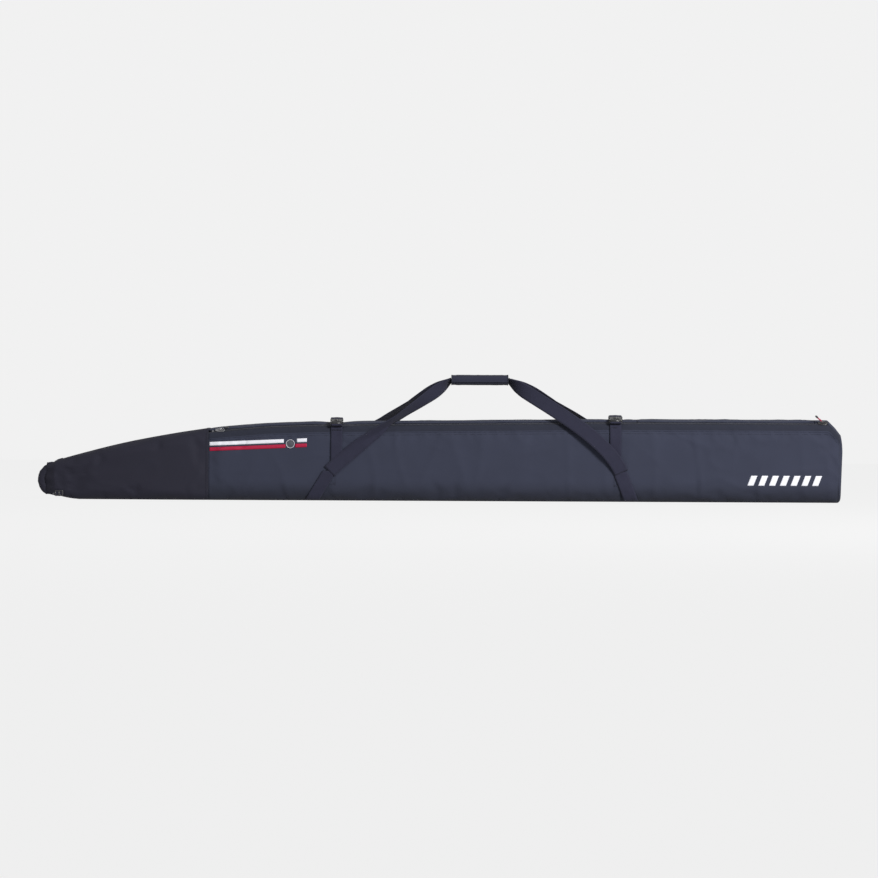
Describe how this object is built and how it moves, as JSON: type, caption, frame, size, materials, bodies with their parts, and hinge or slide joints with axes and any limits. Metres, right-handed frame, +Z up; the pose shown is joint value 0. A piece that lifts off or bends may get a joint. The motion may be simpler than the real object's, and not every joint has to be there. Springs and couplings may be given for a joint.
{
  "type": "ski bag",
  "caption": "Long padded ski bag with a tapering rolled nose, zipped top flap, compression buckles and a wrapped carrying grip on webbing straps.",
  "frame": {"origin": "middle of the base panel, on the surface that the bag rests on", "axes": "+X from the nose to the tail along the bag, -Y to the front with the stripes, +Z up"},
  "size_m": [2.1, 0.1463, 0.33],
  "materials": {
    "shell_fabric": "matte woven nylon",
    "nose_fabric": "coated nylon",
    "webbing": "woven webbing",
    "foam": "closed-cell foam",
    "lining": "plain woven lining",
    "zip_tape": "woven zip tape",
    "zip_teeth": "nylon coil",
    "buckle_plastic": "moulded acetal",
    "slider_black": "black enamel",
    "slider_silver": "nickel plate",
    "pull_cord": "braided cord",
    "stripe_white": "printed transfer",
    "stripe_red": "printed transfer",
    "badge_plastic": "moulded badge",
    "binding": "seam binding",
    "grip_fabric": "ripstop over foam",
    "hook_loop": "hook and loop tape"
  },
  "bodies": {
    "bag": {"front_panel": "shell_fabric", "back_panel": "shell_fabric", "base_panel": "shell_fabric", "top_panel": "shell_fabric", "zip_band": "shell_fabric", "tail_corner": "shell_fabric", "tail_yoke": "shell_fabric", "tail_panel": "shell_fabric", "nose_front_panel": "nose_fabric", "nose_top_panel": "nose_fabric", "nose_back_panel": "nose_fabric", "nose_base_panel": "nose_fabric", "nose_gather": "nose_fabric", "nose_roll": "nose_fabric", "roll_tabs": "webbing", "nose_buckle": "buckle_plastic", "front_foam": "foam", "back_foam": "foam", "base_foam": "foam", "top_foam": "foam", "nose_foam": "foam", "body_lining": "lining", "top_lining": "lining", "nose_lining": "lining", "zip_tapes": "zip_tape", "zip_teeth": "zip_teeth", "zip_stops": "slider_silver", "white_stripes": "stripe_white", "red_stripe": "stripe_red", "badge": "badge_plastic", "tail_print": "stripe_white", "seam_bindings": "binding", "front_webbing": "webbing", "back_webbing": "webbing", "left_strap": "webbing", "left_socket": "buckle_plastic", "right_strap": "webbing", "right_socket": "buckle_plastic", "front_left_carry": "webbing", "front_right_carry": "webbing", "back_left_carry": "webbing", "back_right_carry": "webbing"},
    "flap": {"tail_flap": "shell_fabric", "flap_foam": "foam", "flap_lining": "lining", "flap_zip_tape": "zip_tape", "flap_zip_teeth": "zip_teeth"},
    "tail_zip_slider": {"tail_slider": "slider_black"},
    "tail_zip_pull": {"tail_pull": "pull_cord"},
    "nose_zip_slider": {"nose_slider": "slider_silver"},
    "nose_zip_pull": {"nose_pull": "slider_black"},
    "left_buckle_clip": {"left_clip": "buckle_plastic", "left_top_strap": "webbing"},
    "right_buckle_clip": {"right_clip": "buckle_plastic", "right_top_strap": "webbing"},
    "carry_grip": {"grip_base": "grip_fabric", "grip_webbing": "webbing", "hook_strip": "hook_loop"},
    "grip_cover": {"grip_flap": "grip_fabric", "loop_strip": "hook_loop"}
  },
  "joints": [
    {"name": "tail_flap_open", "type": "hinge", "parent": "bag", "child": "flap", "pos_m": [0.75, 0.063, 0.1875], "axis": [-1, 0, 0], "range_deg": [0, 95]},
    {"name": "tail_slider_travel", "type": "slide", "parent": "bag", "child": "tail_zip_slider", "axis": [1, 0, 0], "range_m": [-0.47, 0]},
    {"name": "tail_pull_swing", "type": "hinge", "parent": "tail_zip_slider", "child": "tail_zip_pull", "pos_m": [0.998, -0.0572, 0.2092], "axis": [0, 0.7071, 0.7071], "range_deg": [-38, 60]},
    {"name": "nose_slider_travel", "type": "slide", "parent": "bag", "child": "nose_zip_slider", "axis": [0.9962, -0.0001, 0.0873], "range_m": [0, 0.1]},
    {"name": "nose_pull_swing", "type": "hinge", "parent": "nose_zip_slider", "child": "nose_zip_pull", "pos_m": [-0.56921, -0.05721, 0.18427], "axis": [0.0618, -0.7058, -0.7058], "range_deg": [0, 100]},
    {"name": "left_buckle_release", "type": "slide", "parent": "bag", "child": "left_buckle_clip", "axis": [0, 0.9397, 0.342], "range_m": [0, 0.024], "deforming": ["left_top_strap"]},
    {"name": "right_buckle_release", "type": "slide", "parent": "bag", "child": "right_buckle_clip", "axis": [0, 0.9397, 0.342], "range_m": [0, 0.024], "deforming": ["right_top_strap"]},
    {"name": "handle_drop", "type": "slide", "parent": "bag", "child": "carry_grip", "axis": [0, 0, 1], "range_m": [-0.08, 0], "deforming": ["front_left_carry", "front_right_carry", "back_left_carry", "back_right_carry"]},
    {"name": "grip_cover_open", "type": "hinge", "parent": "carry_grip", "child": "grip_cover", "pos_m": [0.106, 0.0262, 0.31625], "axis": [-1, 0, 0], "range_deg": [0, 110]}
  ]
}
